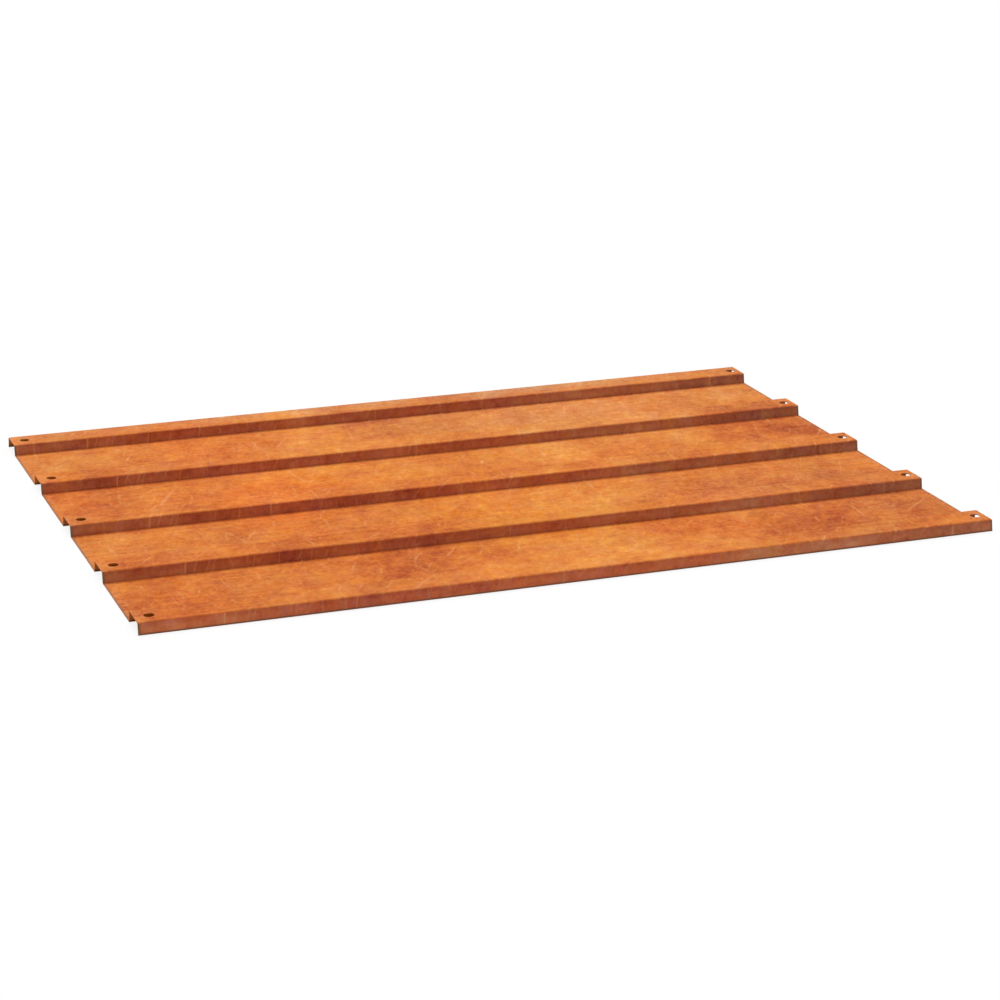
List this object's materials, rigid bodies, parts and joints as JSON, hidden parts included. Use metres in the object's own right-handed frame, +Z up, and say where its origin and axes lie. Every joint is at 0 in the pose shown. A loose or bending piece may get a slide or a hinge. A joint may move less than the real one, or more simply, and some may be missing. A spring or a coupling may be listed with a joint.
{
  "type": "corrugated metal sheet",
  "caption": "Low box-rib weathering-steel cladding sheet with flat crowns, steep walls, wide flat pans and a round fixing hole near each end of every crown.",
  "frame": {"origin": "middle of the sheet's footprint, on the plane of the pans' underside, on which it lies", "axes": "+X along the ribs, towards the end with the smaller hole setback; +Y across the ribs; +Z up, the side that the crowns stand on"},
  "size_m": [0.9, 0.638, 0.012],
  "materials": {
    "weathering_steel": "matt rusted weathering steel, orange with golden, red and brown clouds, fine grain and pale hairline scratches"
  },
  "bodies": {
    "root": {"ribbed_sheet": "weathering_steel"}
  },
  "joints": []
}
